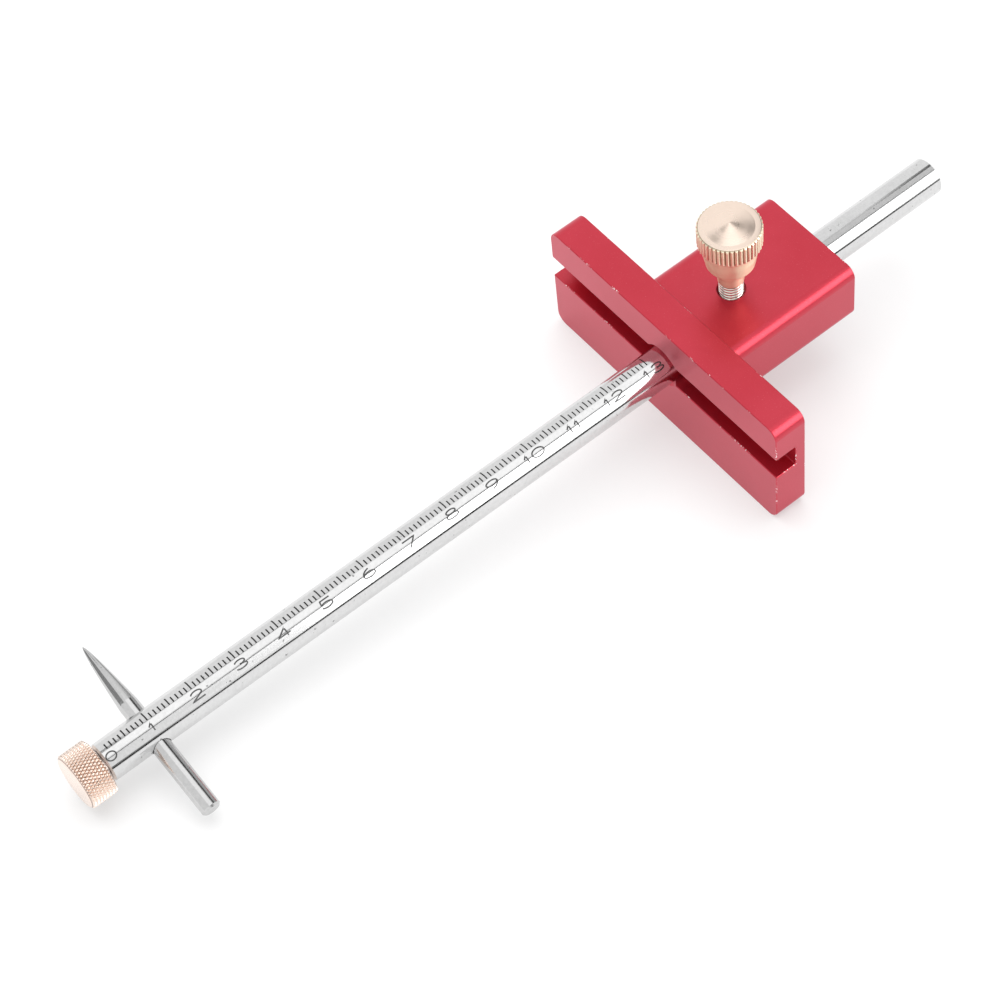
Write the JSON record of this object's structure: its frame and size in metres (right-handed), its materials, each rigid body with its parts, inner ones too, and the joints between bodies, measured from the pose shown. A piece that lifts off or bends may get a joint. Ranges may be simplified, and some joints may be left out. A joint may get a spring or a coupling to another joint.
{
  "type": "marking gauge",
  "caption": "Round-bar marking gauge: a graduated steel beam slides through a grooved T-shaped aluminium fence; knurled brass screws lock the beam and the pointed scriber pin.",
  "frame": {"origin": "where the beam's axis crosses the plane of the fence's working face", "axes": "+X along the fence's long side, +Y along the beam from the scriber through the fence towards the stock block, +Z towards the lock knob"},
  "size_m": [0.067, 0.2121, 0.0463],
  "materials": {
    "red_anodised": "satin red anodised over fine bead blasting, bright metal where the edges are chipped",
    "polished_steel": "ground and polished bar, lightly pitted, with a black-filled engraved scale",
    "scale_fill": "matt black fill of the engraved scale",
    "tool_steel": "ground tool steel, hand-ground taper",
    "stud_steel": "bright threaded rod",
    "pale_brass": "turned, straight-knurled pale brass",
    "rose_brass": "turned, diamond-knurled pale brass",
    "pad_brass": "turned brass slug"
  },
  "bodies": {
    "fence": {"fence": "red_anodised"},
    "beam": {"beam": "polished_steel"},
    "scriber_pin": {"scriber_pin": "tool_steel"},
    "pin_pad": {"pin_pad": "pad_brass"},
    "end_screw": {"end_stud": "stud_steel", "end_knob": "rose_brass"},
    "lock_pad": {"lock_pad": "pad_brass"},
    "lock_screw": {"lock_stud": "stud_steel", "lock_knob": "pale_brass"}
  },
  "joints": [
    {"name": "beam_slide", "type": "slide", "parent": "fence", "child": "beam", "axis": [0, 1, 0], "range_m": [-0.032, 0.1218]},
    {"name": "pin_slide", "type": "slide", "parent": "beam", "child": "scriber_pin", "axis": [-0.9728, 0, 0.2317], "range_m": [-0.002, 0.015]},
    {"name": "pin_pad_slide", "type": "slide", "parent": "beam", "child": "pin_pad", "axis": [0, -1, 0], "range_m": [0, 0.0016]},
    {"name": "end_turn", "type": "hinge", "parent": "pin_pad", "child": "end_screw", "pos_m": [0, -0.1375, 0], "axis": [0, -1, 0], "range_deg": [0, 720]},
    {"name": "lock_pad_lift", "type": "slide", "parent": "fence", "child": "lock_pad", "axis": [0, 0, 1], "range_m": [0, 0.0016]},
    {"name": "lock_turn", "type": "hinge", "parent": "lock_pad", "child": "lock_screw", "pos_m": [0, 0.0182, 0.02], "axis": [0, 0, 1], "range_deg": [0, 720]}
  ],
  "couplings": [
    {"joint": "lock_pad_lift", "follows": "lock_turn", "m_per_rad": 0.00012732},
    {"joint": "pin_pad_slide", "follows": "end_turn", "m_per_rad": 0.00012732}
  ]
}
